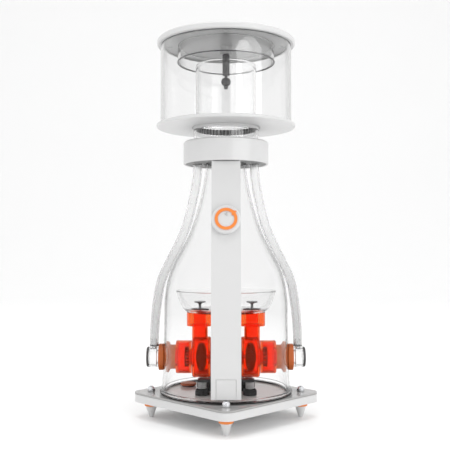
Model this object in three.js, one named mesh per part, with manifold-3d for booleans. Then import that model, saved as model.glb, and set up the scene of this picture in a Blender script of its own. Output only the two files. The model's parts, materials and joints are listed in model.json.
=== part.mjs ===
// Protein skimmer for a marine aquarium sump: a clear bottle-shaped body on a square base, a
// double-ended pump inside it, and a lift-off collection cup with a lid on top.
// Millimetres, +Z up. The feet stand on z = 0 and the body's axis is x = y = 0. The outlet
// column is at the front, towards -Y, and the two pump intakes point along -X and +X.
import * as THREE from "three";
import { mergeVertices } from "three/addons/utils/BufferGeometryUtils.js";
import Module from "manifold-3d";

const wasm = await Module();
wasm.setup();

// ---------------------------------------------------------------- driving dimensions
const GAP = 0.3; // clearance between two pieces that meet
const WALL = 3; // wall of the clear acrylic tubes and of the body
const ROUND_LARGE = 24; // sides of a circle on the body, cup and lid
const ROUND_MEDIUM = 16;
const ROUND_SMALL = 8;

// Base: two stacked plates, standing on one of their corners towards the front
const FOOT_HEIGHT = 20.7;
const BASE_SIDE = 179;
const BASE_CORNER = 15;
const BASE_THICKNESS = 9.7;
const COVER_THICKNESS = 2.4;
const BASE_Z = FOOT_HEIGHT + GAP;
const COVER_Z = BASE_Z + BASE_THICKNESS + GAP;
const FLOOR_Z = COVER_Z + COVER_THICKNESS; // top of the base, which is the floor inside the body
const SCREW_CIRCLE = 98.7;
const SCREW_SHANK = 2.5;
const DRAIN_PLACE = [-52, 36];
const DRAIN_HOLE = 6;

// Body: [radius, height] of its outer wall, from the foot flange to the neck
const BODY_OUTLINE = [
  [84, 39], [82.7, 100], [80.5, 167], [75.5, 187], [66, 207], [55.7, 227], [44, 254],
  [35.5, 284], [30.4, 306], [27.3, 328],
];
const BODY_STEPS = 10;
const SEAL_THICKNESS = 1.5;
const FLANGE_RADIUS = 87.3;
const SOCKET_RADIUS = 47; // socket at the top of the body, which takes the cup's neck
const SOCKET_TOP = 361.5;
const GLAND_Z = 60; // height of the cable gland at the back
const GLAND_STUB = 7;

// Collar: hollow air ring round the socket
const COLLAR_RADIUS = 56.7;
const COLLAR_Z = 334.2;
const COLLAR_HEIGHT = 30;
const COLLAR_WEB_Z = 2; // the web is set back this far above the collar's lower rim

// Air hoses: [distance from the axis, height] from the collar down to the intake cap. They
// are solid here, and their bore is left out.
const HOSE_RADIUS = 6;
const HOSE_ROUTE = [
  [38, 340.5], [38.2, 322], [41.2, 300], [52.2, 254], [62.9, 228], [73.5, 207], [85.5, 180.4],
  [91.3, 150], [94.3, 118], [95, 93.4],
];
const HOSE_STEPS = 16;

// Outlet column: [distance from the axis, height] of its front face
const COLUMN_FRONT = [
  [91.5, 40.2], [90.6, 100], [86.9, 167], [75.8, 224], [67, 257], [58.3, 296], [50.4, 333.9],
];
const COLUMN_WIDTH = 36.6;
const COLUMN_WALL = 2.2;
const COLUMN_END = 3; // thickness of its closed ends
const PANEL_WIDTH = 24;
const PANEL_TOP = 64.3;

// Level knob, square on the column's sloping front
const KNOB_PLACE = [67, 257];
const KNOB_TILT = THREE.MathUtils.degToRad(13.5);
const KNOB_RADIUS = 18.2;
const KNOB_HEIGHT = 8;
const KNOB_SHAFT = 4;

// Pump: one motor between two volutes on a shaft along X
const PUMP_Z = 79;
const MOTOR_HALF = 19.5;
const MOTOR_RADIUS = 24;
const MOTOR_TOP = 37; // above the shaft
const VOLUTE_RADIUS = 26.7;
const VOLUTE_WIDTH = 24.3;
const PIPE_X = 34.6;
const PIPE_RADIUS = 10.4;
const BORE_RADIUS = 8;
const BARREL_RADIUS = 21.6;
const BARREL_END = 65.7;
const SLEEVE_RADIUS = 16;
const STUB_RADIUS = 13;
const STUB_BORE = 10;
const NUT_RADIUS = 17.3;
const NUT_END = 88.6;
const CAP_RADIUS = 13.3;
const CAP_END = 104.7;
const SHAFT_RADIUS = 2.5;
const UNION_RADIUS = 17.3;
const UNION_Z = 120.4;
const BOWL_Z = 139.3;
const BOWL_RIM = 66.5;
const BOWL_HEIGHT = 27.1;

// Cup and lid
const NECK_RADIUS = 43.3;
const NECK_Z = 352;
const RING_Z = 379.8;
const RING_HEIGHT = 8;
const RING_RADIUS = 44.6;
const RING_TEETH = 24;
const CUP_FLOOR_Z = 383;
const CUP_FLOOR_THICKNESS = 4.5;
const CUP_FLOOR_RADIUS = 92.7;
const CUP_RADIUS = 87.3;
const CUP_TOP = 492.2;
const RISER_RADIUS = 40.4;
const RISER_TOP = 466.7;
const LID_RADIUS = 92;
const LID_THICKNESS = 7.9;
const BOSS_DEPTH = 10; // boss under the lid, round the cleaning spindle
const SKIRT_RADIUS = 64.7;
const SKIRT_Z = 470.8;
const VENT_CIRCLE = 76;
const VENT_RADIUS = 4.7;
const POST_RADIUS = 4.7;
const SPINDLE_RADIUS = 3;

// ---------------------------------------------------------------- solids
function toSolid(geometry) {
  const bare = geometry.clone();
  bare.deleteAttribute("normal");
  bare.deleteAttribute("uv");
  const merged = mergeVertices(bare, 1e-4);
  const corners = merged.index.array;
  const place = merged.attributes.position;
  const triangles = [];
  let volume = 0;
  const [a, b, c] = [new THREE.Vector3(), new THREE.Vector3(), new THREE.Vector3()];
  for (let i = 0; i < corners.length; i += 3) {
    const [p, q, r] = [corners[i], corners[i + 1], corners[i + 2]];
    if (p === q || q === r || r === p) continue;
    triangles.push([p, q, r]);
    a.fromBufferAttribute(place, p);
    b.fromBufferAttribute(place, q);
    c.fromBufferAttribute(place, r);
    volume += a.dot(b.cross(c));
  }
  const outward = volume > 0 ? triangles : triangles.map(([p, q, r]) => [p, r, q]);
  return new wasm.Manifold(new wasm.Mesh({
    numProp: 3,
    vertProperties: new Float32Array(place.array),
    triVerts: new Uint32Array(outward.flat()),
  }));
}

function toGeometry(solid) {
  const mesh = solid.getMesh();
  const geometry = new THREE.BufferGeometry();
  geometry.setAttribute("position", new THREE.BufferAttribute(new Float32Array(mesh.vertProperties), 3));
  geometry.setIndex(new THREE.BufferAttribute(new Uint32Array(mesh.triVerts), 1));
  geometry.computeVertexNormals();
  return geometry;
}

function join(first, ...others) {
  return toGeometry(others.reduce((whole, piece) => whole.add(toSolid(piece)), toSolid(first)));
}

function cut(first, ...tools) {
  return toGeometry(tools.reduce((rest, tool) => rest.subtract(toSolid(tool)), toSolid(first)));
}

function common(first, second) {
  return toGeometry(toSolid(first).intersect(toSolid(second)));
}

// A turned solid about Z from [radius, height] points; a ring's points come back to the start
function turned(points, sides) {
  const first = points[0];
  const onAxis = first[0] === 0 && points.at(-1)[0] === 0;
  const loop = onAxis ? points : [...points, first];
  const profile = loop.map(([radius, height]) => new THREE.Vector2(radius, height));
  return new THREE.LatheGeometry(profile, sides).rotateX(Math.PI / 2);
}

function cylinder(radius, bottom, top, sides) {
  return turned([[0, bottom], [radius, bottom], [radius, top], [0, top]], sides);
}

function tube(outer, inner, bottom, top, sides) {
  return turned([[inner, bottom], [outer, bottom], [outer, top], [inner, top]], sides);
}

// The same turned about the X axis, with heights measured along +X
function turnedAlongX(points, sides) {
  return turned(points, sides).rotateY(Math.PI / 2);
}

function block(width, depth, height, x, y, z) {
  return new THREE.BoxGeometry(width, depth, height).translate(x, y, z);
}

function extruded(shape, height, curveSegments) {
  return new THREE.ExtrudeGeometry(shape, { depth: height, bevelEnabled: false, curveSegments });
}

// A shape drawn as [distance forward, height], given a width across X and centred on x = 0
function sideways(outline, width) {
  const shape = new THREE.Shape(outline.map(([forward, height]) => new THREE.Vector2(-forward, height)));
  const solid = extruded(shape, width, 1).translate(0, 0, -width / 2);
  return solid.rotateX(Math.PI / 2).rotateZ(Math.PI / 2);
}

function curvePoints(points, steps) {
  const curve = new THREE.SplineCurve(points.map(([x, y]) => new THREE.Vector2(x, y)));
  return curve.getSpacedPoints(steps).map((point) => [point.x, point.y]);
}

// Moves an outline sideways by a distance, to its right as it runs
function offset(points, distance) {
  return points.map(([x, y], i) => {
    const [x0, y0] = points[Math.max(i - 1, 0)];
    const [x1, y1] = points[Math.min(i + 1, points.length - 1)];
    const length = Math.hypot(x1 - x0, y1 - y0);
    return [x + ((y1 - y0) / length) * distance, y - ((x1 - x0) / length) * distance];
  });
}

// ---------------------------------------------------------------- materials
function plastic(color, roughness, metalness = 0) {
  return () => new THREE.MeshStandardMaterial({ color, roughness, metalness });
}
const whitePlastic = plastic(0xe9e9e9, 0.3);
const clearAcrylic = plastic(0xf4f7f8, 0.05);
const greyAcrylic = plastic(0x9c9c9c, 0.15);
const redAcrylic = plastic(0xf0300c, 0.12);
const orangePlastic = plastic(0xd9621f, 0.3);
const blackPlastic = plastic(0x1d1a1a, 0.4);
const blackRubber = plastic(0x161616, 0.8);
const orangeRubber = plastic(0xd8531b, 0.55);
const greySilicone = plastic(0xc4c1bd, 0.35);
const darkGrey = plastic(0x4a4a4c, 0.35);
const steel = plastic(0xcfd1d4, 0.25, 1);

const skimmer = new THREE.Group();

function add(parent, name, geometry, material, place = [0, 0, 0]) {
  const clean = toGeometry(toSolid(geometry));
  const mesh = new THREE.Mesh(clean, material());
  mesh.name = name;
  mesh.position.set(...place);
  parent.add(mesh);
  return mesh;
}

function addGroup(parent, place, rotation = [0, 0, 0]) {
  const group = new THREE.Group();
  group.position.set(...place);
  group.rotation.set(...rotation);
  parent.add(group);
  return group;
}

// ---------------------------------------------------------------- base
const corners = [0, 1, 2, 3].map((i) => {
  const angle = (i * Math.PI) / 2 - Math.PI / 2;
  return [SCREW_CIRCLE * Math.cos(angle), SCREW_CIRCLE * Math.sin(angle)];
});

function hole(x, y, radius) {
  return new THREE.Path().absarc(x, y, radius, 0, Math.PI * 2, true);
}

function squarePlate(thickness) {
  const centre = BASE_SIDE / 2 - BASE_CORNER;
  const outline = new THREE.Shape();
  for (let i = 0; i < 4; i += 1) {
    const turn = (i * Math.PI) / 2;
    const reach = centre * Math.SQRT2;
    const [x, y] = [reach * Math.cos(turn), reach * Math.sin(turn)];
    outline.absarc(x, y, BASE_CORNER, turn - Math.PI / 4, turn + Math.PI / 4, false);
  }
  corners.forEach(([x, y]) => outline.holes.push(hole(x, y, SCREW_SHANK + GAP)));
  outline.holes.push(hole(...DRAIN_PLACE, DRAIN_HOLE));
  return extruded(outline, thickness, 4);
}

function foot() {
  const [tip, widest, ring, top] = [2.8, 8.1, 16.8, FOOT_HEIGHT];
  return turned([
    [0, 0], [tip, 0], [widest, ring], [widest - 1.6, ring], [widest - 1.6, ring + 2],
    [widest, ring + 2], [widest, top], [SCREW_SHANK + GAP, top], [SCREW_SHANK + GAP, 9], [0, 9],
  ], ROUND_SMALL);
}

function screw() {
  const [length, head, socket] = [18, 5, 1.9];
  return turned([
    [0, -length], [SCREW_SHANK, -length], [SCREW_SHANK, 0], [head, 0], [head, 3.6],
    [head - 0.9, 5.6], [socket + 0.7, 6.6], [socket, 6.6], [socket, 3.4], [0, 3.4],
  ], ROUND_SMALL);
}

function drainPlug() {
  const [stem, head, headBottom, headTop] = [DRAIN_HOLE - 0.8, 11, 1.6, 4.6];
  return turned([
    [0, -10], [stem, -10], [stem, headBottom], [head, headBottom],
    [head, headTop - 0.8], [head - 0.8, headTop], [0, headTop],
  ], ROUND_MEDIUM);
}

function addBase() {
  add(skimmer, "base_plate", squarePlate(BASE_THICKNESS), whitePlastic, [0, 0, BASE_Z]);
  add(skimmer, "base_cover", squarePlate(COVER_THICKNESS), greyAcrylic, [0, 0, COVER_Z]);
  const names = ["front", "right", "rear", "left"];
  corners.forEach(([x, y], i) => {
    add(skimmer, `foot_${names[i]}`, foot(), whitePlastic, [x, y, 0]);
    add(skimmer, `base_screw_${names[i]}`, screw(), steel, [x, y, FLOOR_Z + GAP]);
  });
  add(skimmer, "drain_plug", drainPlug(), orangePlastic, [...DRAIN_PLACE, FLOOR_Z]);
}

// ---------------------------------------------------------------- body
const bodyOuter = curvePoints(BODY_OUTLINE, BODY_STEPS);
const bodyInner = offset(bodyOuter, -WALL);

// The space inside a turned outline, grown by a clearance, from below its foot to above its neck
function filledBody(outline, clearance) {
  const grown = offset(outline, clearance);
  const [bottom, top] = [grown[0], grown.at(-1)];
  const points = [[0, bottom[1] - 20], [bottom[0], bottom[1] - 20], ...grown];
  return turned([...points, [top[0], top[1] + 20], [0, top[1] + 20]], ROUND_LARGE);
}

function alongWall(radius, from, to, sides) {
  return turnedAlongX([[0, from], [radius, from], [radius, to], [0, to]], sides);
}

function bodyShell() {
  const bottom = FLOOR_Z + GAP + SEAL_THICKNESS + GAP;
  const [neckRadius] = bodyOuter.at(-1);
  const flareBottom = 339;
  const flareTop = 348.5;
  const flangeTop = bottom + 3.3;
  const shell = turned([
    [bodyInner[0][0], bottom], [FLANGE_RADIUS, bottom], [FLANGE_RADIUS, flangeTop], ...bodyOuter,
    [neckRadius, flareBottom], [SOCKET_RADIUS, flareTop], [SOCKET_RADIUS, SOCKET_TOP],
    [SOCKET_RADIUS - WALL, SOCKET_TOP], [SOCKET_RADIUS - WALL, flareTop + WALL / 2],
    [neckRadius - WALL, flareBottom + WALL / 2], ...bodyInner.slice().reverse(),
  ], ROUND_LARGE);
  const across = alongWall(STUB_RADIUS + GAP, -100, 100, ROUND_MEDIUM).translate(0, 0, PUMP_Z);
  const gland = alongWall(GLAND_STUB + GAP, 60, 100, ROUND_SMALL).rotateZ(Math.PI / 2);
  return cut(shell, across, gland.translate(0, 0, GLAND_Z));
}

function cableGland() {
  const [bore, face, end] = [3.2, 84.4, 99];
  const profile = [
    [bore, 75], [GLAND_STUB, 75], [GLAND_STUB, face], [10, face], [10, face + 5], [8, face + 6],
    [8, end - 3], [6, end], [bore, end],
  ];
  return turnedAlongX(profile, ROUND_SMALL).rotateZ(Math.PI / 2);
}

function collar() {
  const [inner, web] = [COLLAR_RADIUS - WALL, COLLAR_WEB_Z];
  const [bodyRadius] = bodyOuter.at(-1);
  const ring = turned([
    [COLLAR_RADIUS, 0], [COLLAR_RADIUS, COLLAR_HEIGHT - 2], [COLLAR_RADIUS - 2, COLLAR_HEIGHT],
    [SOCKET_RADIUS + 1, COLLAR_HEIGHT], [SOCKET_RADIUS + 1, COLLAR_HEIGHT - WALL],
    [inner, COLLAR_HEIGHT - WALL], [inner, web + 2.5], [bodyRadius + 1.2, web + 2.5],
    [bodyRadius + 1.2, web], [inner, web], [inner, 0],
  ], ROUND_LARGE);
  const [hoseX] = HOSE_ROUTE[0];
  const ports = [-hoseX, hoseX].map((x) => (
    cylinder(HOSE_RADIUS + 0.4, 0, 10, ROUND_SMALL).translate(x, 0, 0)
  ));
  return cut(ring, ...ports);
}

function airHose(side) {
  const section = new THREE.Shape().absarc(0, 0, HOSE_RADIUS, 0, Math.PI * 2, false);
  const route = HOSE_ROUTE.map(([x, z]) => new THREE.Vector3(side * x, 0, z));
  return new THREE.ExtrudeGeometry(section, {
    extrudePath: new THREE.CatmullRomCurve3(route),
    steps: HOSE_STEPS,
    curveSegments: 4,
  });
}

function addBody() {
  const sealZ = FLOOR_Z + GAP;
  const seal = tube(FLANGE_RADIUS - 1, 80.3, 0, SEAL_THICKNESS, ROUND_LARGE);
  add(skimmer, "body_seal", seal, blackRubber, [0, 0, sealZ]);
  add(skimmer, "body_shell", bodyShell(), clearAcrylic);
  add(skimmer, "cable_gland", cableGland(), blackPlastic, [0, 0, GLAND_Z]);
  add(skimmer, "collar", collar(), whitePlastic, [0, 0, COLLAR_Z]);
  add(skimmer, "air_hose_right", airHose(1), greySilicone);
  add(skimmer, "air_hose_left", airHose(-1), greySilicone);
}

// ---------------------------------------------------------------- outlet column and level knob
const columnFront = curvePoints(COLUMN_FRONT, 12);

// The column's outline, set back from its front face, its sides and its ends
function columnSolid(inset, width, end) {
  const [bottom, top] = [COLUMN_FRONT[0][1] + end, COLUMN_FRONT.at(-1)[1] - end];
  const front = offset(columnFront, -inset).filter(([, z]) => z > bottom + 1 && z < top - 1);
  const [below, last] = [front.at(-2), front.at(-1)];
  const slope = (last[0] - below[0]) / (last[1] - below[1]);
  const topFront = last[0] + slope * (top - last[1]);
  const depth = 20; // well inside the body, which trims it
  const outline = [[depth, bottom], [front[0][0], bottom], ...front, [topFront, top], [depth, top]];
  return sideways(outline, width);
}

// Places a solid made square on the knob's axis, with +Z outward from the column
function onKnobAxis(geometry) {
  const [forward, height] = KNOB_PLACE;
  return geometry.rotateX(Math.PI / 2 - KNOB_TILT).translate(0, -forward, height);
}

function columnWalls() {
  const channel = columnSolid(COLUMN_WALL, COLUMN_WIDTH - 2 * COLUMN_WALL, COLUMN_END);
  return cut(columnSolid(0, COLUMN_WIDTH, 0), channel);
}

function panelBlock(clearance) {
  const [bottom, top] = [COLUMN_FRONT[0][1] - clearance, PANEL_TOP + clearance];
  const width = PANEL_WIDTH + 2 * clearance;
  return block(width, 8, top - bottom, 0, -COLUMN_FRONT[0][0] + 1, (top + bottom) / 2);
}

function columnCover() {
  const boss = onKnobAxis(cylinder(KNOB_RADIUS + 0.1, -6, 1.4, ROUND_MEDIUM));
  const seat = onKnobAxis(block(COLUMN_WIDTH - COLUMN_WALL, 38, 2.2, 0, 0, -10));
  const bore = onKnobAxis(cylinder(KNOB_SHAFT + 0.4, -12, 5, ROUND_MEDIUM));
  const port = onKnobAxis(cut(cylinder(11, -14, -7, ROUND_MEDIUM), block(40, 40, 20, 0, 20, -10)));
  const recess = onKnobAxis(cylinder(14.5, -8.9, -COLUMN_WALL, ROUND_MEDIUM));
  const walls = join(columnWalls(), boss, seat);
  return cut(walls, bore, port, recess, filledBody(bodyOuter, 0.5), panelBlock(GAP));
}

function levelKnob() {
  return turned([
    [0, -7.5], [KNOB_SHAFT, -7.5], [KNOB_SHAFT, 1.8], [KNOB_RADIUS, 1.8],
    [KNOB_RADIUS, KNOB_HEIGHT - 1.5], [KNOB_RADIUS - 1.5, KNOB_HEIGHT], [0, KNOB_HEIGHT],
  ], ROUND_MEDIUM);
}

// Flat ring with an arrow head on it, at the upper right of the dial
function knobRing() {
  const [outer, inner, thickness] = [14, 9.6, 0.9];
  const ring = tube(outer, inner, 0, thickness, ROUND_MEDIUM);
  const middle = (outer + inner) / 2;
  const head = new THREE.Shape([
    new THREE.Vector2(0, 4.4), new THREE.Vector2(-4.2, 0), new THREE.Vector2(4.2, 0),
  ]);
  const arrow = extruded(head, thickness, 1).rotateZ(Math.PI).translate(middle, 0, 0);
  return join(ring, arrow.rotateZ(Math.PI / 4));
}

function valveDisc() {
  const disc = cylinder(13.5, -7.9, -5.9, ROUND_MEDIUM);
  const hub = cylinder(7, -7.9, -4.4, ROUND_SMALL);
  const bore = cylinder(KNOB_SHAFT + GAP, -9, -3, ROUND_MEDIUM);
  return cut(join(cut(disc, block(40, 20, 10, 0, -11.5, -7)), hub), bore);
}

function addColumn() {
  add(skimmer, "column_cover", columnCover(), whitePlastic);
  add(skimmer, "outlet_panel", common(columnWalls(), panelBlock(0)), whitePlastic);
  const [forward, height] = KNOB_PLACE;
  const dial = addGroup(skimmer, [0, -forward, height], [Math.PI / 2 - KNOB_TILT, 0, 0]);
  add(dial, "level_knob", levelKnob(), whitePlastic);
  add(dial, "knob_ring", knobRing(), orangePlastic, [0, 0, KNOB_HEIGHT + GAP]);
  add(dial, "valve_disc", valveDisc(), orangePlastic);
}

// ---------------------------------------------------------------- pump
function motorHousing() {
  const side = new THREE.Shape();
  side.absarc(0, 0, MOTOR_RADIUS, Math.PI, 0, false);
  side.lineTo(MOTOR_RADIUS, MOTOR_TOP - 6);
  side.absarc(MOTOR_RADIUS - 6, MOTOR_TOP - 6, 6, 0, Math.PI / 2, false);
  side.absarc(6 - MOTOR_RADIUS, MOTOR_TOP - 6, 6, Math.PI / 2, Math.PI, false);
  const can = extruded(side, 2 * MOTOR_HALF, 4).translate(0, 0, -MOTOR_HALF);
  const rotorBore = alongWall(12.4, -50, 50, ROUND_MEDIUM);
  return cut(can.rotateX(Math.PI / 2).rotateZ(Math.PI / 2), rotorBore);
}

// H-shaped plate on a plinth under the motor, with an ear and a post over each rubber foot
function pumpCradle() {
  const [earX, earY, thickness] = [30.7, 26.7, 3.5];
  const bar = block(2 * MOTOR_HALF, 64, thickness, 0, 0, 0);
  const plinth = block(48, 35, 15, 0, 0, -9);
  const ears = [-1, 1].map((y) => block(2 * earX + 11, 11, thickness, 0, y * earY, 0));
  const posts = [];
  for (const x of [-earX, earX]) {
    for (const y of [-earY, earY]) {
      posts.push(cylinder(4.6, -10.6, 0, ROUND_SMALL).translate(x, y, 0));
    }
  }
  return join(bar, plinth, ...ears, ...posts);
}

function pumpFoot() {
  return turned([[0, 0], [8.8, 0], [8.8, 5.6], [7.4, 8.1], [0, 8.1]], ROUND_SMALL);
}

function volute() {
  const from = MOTOR_HALF + 0.6;
  const to = from + VOLUTE_WIDTH;
  const drum = alongWall(VOLUTE_RADIUS, from, to, ROUND_MEDIUM);
  const pipe = cylinder(PIPE_RADIUS, 5, UNION_Z - PUMP_Z + 3, ROUND_MEDIUM).translate(PIPE_X, 0, 0);
  const chamber = alongWall(VOLUTE_RADIUS - 4, from + 2.6, to - 2.6, ROUND_MEDIUM);
  const throat = alongWall(BORE_RADIUS + 3, from + 5, to + 5, ROUND_MEDIUM);
  const shaftHole = alongWall(BORE_RADIUS, from - 5, to - 5, ROUND_MEDIUM);
  const outlet = cylinder(BORE_RADIUS, 0, 50, ROUND_MEDIUM).translate(PIPE_X, 0, 0);
  return cut(join(drum, pipe), chamber, throat, shaftHole, outlet);
}

function impeller() {
  const [from, to, rim] = [25, 40, 19];
  const hub = alongWall(5.5, from, to, ROUND_SMALL);
  const disc = alongWall(rim, from + 1, from + 3, ROUND_MEDIUM);
  const vanes = [0, 1, 2, 3].map((i) => (
    block(to - from - 2.2, 1.8, 2 * rim - 1, (from + to) / 2 + 0.6, 0, 0).rotateX((i * Math.PI) / 4)
  ));
  return cut(join(hub, disc, ...vanes), alongWall(SHAFT_RADIUS + GAP, 20, 50, ROUND_SMALL));
}

function intakeBarrel() {
  const [start, wall] = [MOTOR_HALF + VOLUTE_WIDTH + 1.6, 2.6];
  const spigot = BORE_RADIUS + 2.6;
  return turnedAlongX([
    [BORE_RADIUS, start - 2.8], [spigot, start - 2.8], [spigot, start], [BARREL_RADIUS, start],
    [BARREL_RADIUS, BARREL_END], [STUB_BORE, BARREL_END], [STUB_BORE, BARREL_END - wall],
    [BARREL_RADIUS - wall, BARREL_END - wall], [BARREL_RADIUS - wall, start + wall],
    [BORE_RADIUS, start + wall],
  ], ROUND_MEDIUM);
}

// The sleeve's flange is a saddle against the inside of the body's wall
function intakeSleeve() {
  const start = BARREL_END + GAP;
  const [flare, face] = [20.4, 84];
  const flange = turnedAlongX([
    [0, start], [SLEEVE_RADIUS, start], [SLEEVE_RADIUS, 73.5], [flare, 76], [flare, face], [0, face],
  ], ROUND_MEDIUM);
  const inside = filledBody(bodyInner, -GAP).translate(0, 0, -PUMP_Z);
  const stub = alongWall(STUB_RADIUS, start, NUT_END, ROUND_MEDIUM);
  const bore = alongWall(STUB_BORE, start - 5, NUT_END + 5, ROUND_MEDIUM);
  return cut(join(common(flange, inside), stub), bore);
}

function wallNut() {
  const outside = filledBody(bodyOuter, GAP).translate(0, 0, -PUMP_Z);
  const nut = turnedAlongX([
    [STUB_RADIUS + GAP, 78], [NUT_RADIUS, 78], [NUT_RADIUS, NUT_END - 1],
    [NUT_RADIUS - 1, NUT_END], [STUB_RADIUS + GAP, NUT_END],
  ], ROUND_MEDIUM);
  return cut(nut, outside);
}

function intakeCap() {
  const start = NUT_END + GAP;
  const spigot = STUB_BORE - GAP;
  const shell = turnedAlongX([
    [spigot - 2, start - 4], [spigot, start - 4], [spigot, start], [CAP_RADIUS, start],
    [CAP_RADIUS, CAP_END - 1], [CAP_RADIUS - 1, CAP_END], [0, CAP_END], [0, CAP_END - WALL],
    [CAP_RADIUS - 2.6, CAP_END - WALL], [CAP_RADIUS - 2.6, start + 2.4], [spigot - 2, start + 2.4],
  ], ROUND_MEDIUM);
  const [hoseX] = HOSE_ROUTE.at(-1);
  const airway = cylinder(2.4, 5, 30, ROUND_SMALL).translate(hoseX, 0, 0);
  return cut(shell, airway);
}

function outletUnion() {
  const [bottom, top] = [UNION_Z, BOWL_Z - GAP];
  const [socket, socketTop] = [PIPE_RADIUS + 0.4, UNION_Z + 3.4];
  return turned([
    [socket, bottom], [UNION_RADIUS, bottom], [UNION_RADIUS, top], [BORE_RADIUS, top],
    [BORE_RADIUS, socketTop], [socket, socketTop],
  ], ROUND_MEDIUM).translate(PIPE_X, 0, -PUMP_Z);
}

function diffuserBowl() {
  const outer = curvePoints([[51, 0], [54.7, 2.6], [61.3, 11.7], [BOWL_RIM, BOWL_HEIGHT]], 5);
  const inner = offset(outer, -2);
  const profile = [[0, 0], ...outer, ...inner.slice(1).reverse(), [50, 2.5], [0, 2.5]];
  const outlets = [-PIPE_X, PIPE_X].map((x) => (
    cylinder(BORE_RADIUS, -5, 8, ROUND_MEDIUM).translate(x, 0, 0)
  ));
  return cut(turned(profile, ROUND_LARGE), ...outlets);
}

// Mushroom over each outlet, standing on three arms that leave the way open for the water
function diffuserCap() {
  const stem = turned([
    [0, 0], [3, 0], [1.8, 2.5], [1.8, 6.6], [4, 8], [7.4, 8.4], [7.4, 9.8], [0, 10.2],
  ], ROUND_SMALL);
  const arms = [0, 1, 2].map((i) => block(10, 2, 1.4, 5, 0, 0.7).rotateZ((i * 2 * Math.PI) / 3));
  return join(stem, ...arms).translate(PIPE_X, 0, BOWL_Z + 2.5 + GAP - PUMP_Z);
}

function bearing() {
  return turnedAlongX([[SHAFT_RADIUS + GAP, 15], [12, 15], [12, 19.2], [SHAFT_RADIUS + GAP, 19.2]],
    ROUND_MEDIUM);
}

function addPump() {
  const pump = addGroup(skimmer, [0, 0, PUMP_Z]);
  add(pump, "motor_housing", motorHousing(), blackPlastic);
  add(pump, "pump_cradle", pumpCradle(), blackPlastic, [0, 0, -MOTOR_RADIUS - 2.2]);
  add(pump, "rotor_shaft", alongWall(SHAFT_RADIUS, -39, 39, ROUND_SMALL), steel);
  const magnet = turnedAlongX([
    [SHAFT_RADIUS + GAP, -14.4], [11.4, -14.4], [11.4, 14.4], [SHAFT_RADIUS + GAP, 14.4],
  ], ROUND_MEDIUM);
  add(pump, "rotor_magnet", magnet, darkGrey);
  [["right", 0], ["left", Math.PI]].forEach(([name, turn]) => {
    const side = addGroup(pump, [0, 0, 0], [0, 0, turn]);
    add(side, `bearing_${name}`, bearing(), blackPlastic);
    add(side, `volute_${name}`, volute(), redAcrylic);
    add(side, `impeller_${name}`, impeller(), blackPlastic);
    add(side, `intake_barrel_${name}`, intakeBarrel(), redAcrylic);
    add(side, `intake_sleeve_${name}`, intakeSleeve(), orangePlastic);
    add(side, `wall_nut_${name}`, wallNut(), orangePlastic);
    add(side, `intake_cap_${name}`, intakeCap(), clearAcrylic);
    add(side, `outlet_union_${name}`, outletUnion(), redAcrylic);
    add(side, `diffuser_cap_${name}`, diffuserCap(), clearAcrylic);
  });
  [["front_left", -1, -1], ["front_right", 1, -1], ["rear_left", -1, 1], ["rear_right", 1, 1]]
    .forEach(([name, x, y]) => {
      const place = [x * 30.7, y * 26.7, FLOOR_Z + GAP - PUMP_Z];
      add(pump, `pump_foot_${name}`, pumpFoot(), blackRubber, place);
    });
  add(pump, "diffuser_bowl", diffuserBowl(), clearAcrylic, [0, 0, BOWL_Z - PUMP_Z]);
}

// ---------------------------------------------------------------- cup
function cupNeck() {
  const [inner, top] = [NECK_RADIUS - WALL, RING_Z - GAP];
  const [grooveBottom, grooveTop] = [NECK_Z + 2.5, NECK_Z + 5.1];
  return turned([
    [inner, NECK_Z], [NECK_RADIUS, NECK_Z], [NECK_RADIUS, grooveBottom],
    [NECK_RADIUS - 1.5, grooveBottom], [NECK_RADIUS - 1.5, grooveTop], [NECK_RADIUS, grooveTop],
    [NECK_RADIUS, top], [inner, top],
  ], ROUND_LARGE);
}

// Ring between neck and riser, with fine teeth on its inside
function riserRing() {
  const [root, tip] = [43.2, 41.2];
  const outline = new THREE.Shape().absarc(0, 0, RING_RADIUS, 0, Math.PI * 2, false);
  const points = [];
  for (let i = 0; i < RING_TEETH; i += 1) {
    [[0, root], [0.5, root], [0.5, tip], [1, tip]].forEach(([part, radius]) => {
      const angle = -((i + part) * 2 * Math.PI) / RING_TEETH;
      points.push(new THREE.Vector2(radius * Math.cos(angle), radius * Math.sin(angle)));
    });
  }
  outline.holes.push(new THREE.Path(points));
  return extruded(outline, RING_HEIGHT, ROUND_LARGE / 2);
}

function cupFloor() {
  const [hub, rim, thickness] = [RING_RADIUS + GAP, CUP_FLOOR_RADIUS, CUP_FLOOR_THICKNESS];
  return turned([
    [hub, 0], [rim - 1.6, 0], [rim, 1.2], [rim, thickness - 1.2], [rim - 1.6, thickness],
    [hub, thickness],
  ], ROUND_LARGE);
}

function addCup() {
  const cup = addGroup(skimmer, [0, 0, 0]);
  const floorTop = CUP_FLOOR_Z + CUP_FLOOR_THICKNESS + GAP;
  const riserBottom = RING_Z + RING_HEIGHT + GAP;
  add(cup, "cup_floor", cupFloor(), whitePlastic, [0, 0, CUP_FLOOR_Z]);
  const wall = tube(CUP_RADIUS, CUP_RADIUS - WALL, floorTop, CUP_TOP, ROUND_LARGE);
  add(cup, "cup_wall", wall, clearAcrylic);
  const riser = tube(RISER_RADIUS, RISER_RADIUS - WALL, riserBottom, RISER_TOP, ROUND_LARGE);
  add(cup, "cup_riser", riser, clearAcrylic);
  add(cup, "riser_ring", riserRing(), darkGrey, [0, 0, RING_Z]);
  add(cup, "cup_neck", cupNeck(), clearAcrylic);
  const seal = tube(NECK_RADIUS + 0.4, NECK_RADIUS - 1.2, NECK_Z + 2.8, NECK_Z + 4.8, ROUND_LARGE);
  add(cup, "neck_seal", seal, blackRubber);
}

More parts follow.
